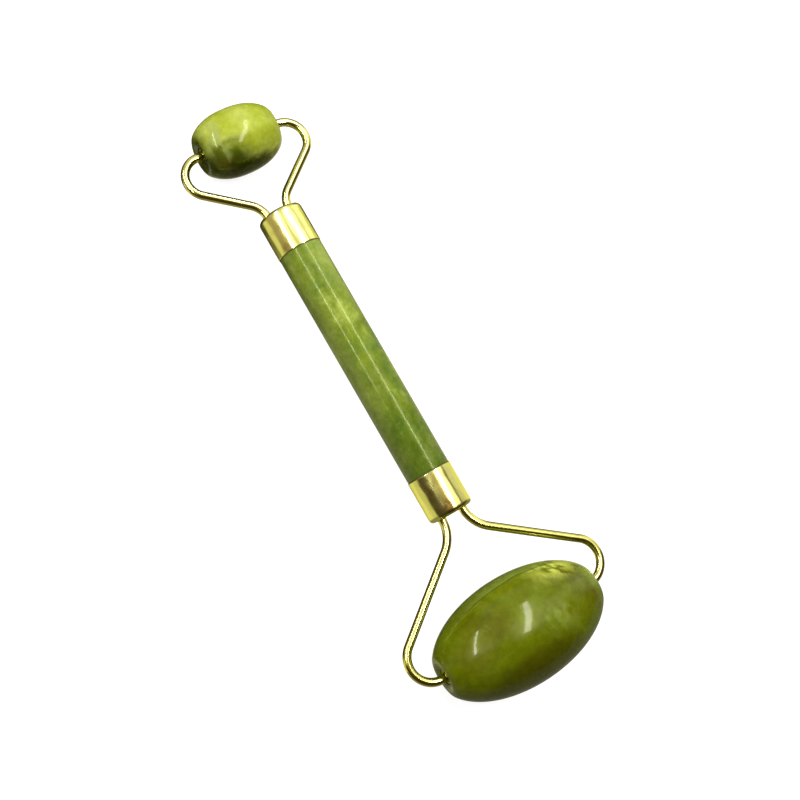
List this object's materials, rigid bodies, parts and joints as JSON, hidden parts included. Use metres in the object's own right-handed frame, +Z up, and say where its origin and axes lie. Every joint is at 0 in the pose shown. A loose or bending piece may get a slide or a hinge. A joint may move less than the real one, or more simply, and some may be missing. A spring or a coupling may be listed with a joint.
{
  "type": "face roller",
  "caption": "Two-ended jade face roller: a round rod with a large and a small ovoid roller, each turning freely on a bent wire frame held in a metal ferrule.",
  "frame": {"origin": "On the floor that both rollers rest on, under the middle of the object's bounding box.", "axes": "+Y runs along the handle towards the small roller, +X along both rollers' axles, +Z up."},
  "size_m": [0.053, 0.145, 0.0242],
  "materials": {
    "handle_jade": "polished, mottled mid green",
    "large_roller_jade": "polished, olive green with pale veins",
    "small_roller_jade": "polished, lime green with dark smoky veins",
    "gold_plate": "polished pale gold plate",
    "gold_wire": "polished pale gold plate",
    "bush_brass": "turned brass",
    "potting_resin": "cast resin"
  },
  "bodies": {
    "handle": {"handle_rod": "handle_jade", "large_ferrule": "gold_plate", "small_ferrule": "gold_plate", "large_potting": "potting_resin", "small_potting": "potting_resin", "large_wire_frame": "gold_wire", "small_wire_frame": "gold_wire"},
    "large_roller_body": {"large_roller": "large_roller_jade", "large_roller_bush_left": "bush_brass", "large_roller_bush_right": "bush_brass"},
    "small_roller_body": {"small_roller": "small_roller_jade", "small_roller_bush_left": "bush_brass", "small_roller_bush_right": "bush_brass"}
  },
  "joints": [
    {"name": "large_roller_spin", "type": "hinge", "parent": "handle", "child": "large_roller_body", "pos_m": [0, -0.06039, 0.0121], "axis": [1, 0, 0], "continuous": true},
    {"name": "small_roller_spin", "type": "hinge", "parent": "handle", "child": "small_roller_body", "pos_m": [0, 0.06484, 0.00765], "axis": [1, 0, 0], "continuous": true}
  ]
}
